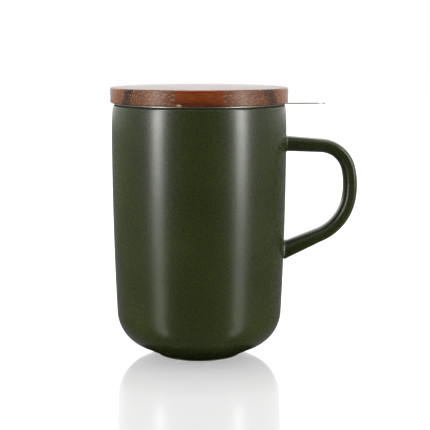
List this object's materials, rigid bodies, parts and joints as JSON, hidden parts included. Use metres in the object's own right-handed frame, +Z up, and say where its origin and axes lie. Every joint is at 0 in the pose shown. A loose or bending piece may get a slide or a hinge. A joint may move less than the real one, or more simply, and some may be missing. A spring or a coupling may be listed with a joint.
{
  "type": "lidded tea mug with infuser",
  "caption": "Straight stoneware tea mug with a strap handle, a lift-out steel infuser basket with a finger tab, and a loose wooden lid.",
  "frame": {"origin": "on the mug's axis, in the plane that its foot ring stands on", "axes": "+Z up the mug's axis, +X towards the handle and the infuser's tab"},
  "size_m": [0.1204, 0.0862, 0.1311],
  "materials": {
    "glazed_stoneware": "matte dark green glaze",
    "stainless_steel": "brushed",
    "acacia": "oiled",
    "silicone": "matt, translucent white"
  },
  "bodies": {
    "mug": {"mug_body": "glazed_stoneware", "mug_handle": "glazed_stoneware"},
    "infuser": {"infuser_rim": "stainless_steel", "infuser_wall": "stainless_steel", "infuser_base_band": "stainless_steel", "infuser_floor": "stainless_steel"},
    "lid": {"lid_stave_1": "acacia", "lid_stave_2": "acacia", "lid_stave_3": "acacia", "lid_stave_4": "acacia", "lid_seal_ring": "silicone"}
  },
  "joints": [
    {"name": "infuser_lift", "type": "slide", "parent": "mug", "child": "infuser", "axis": [0, 0, 1], "range_m": [0, 0.09]},
    {"name": "lid_lift", "type": "slide", "parent": "infuser", "child": "lid", "axis": [0, 0, 1], "range_m": [0, 0.05]}
  ]
}
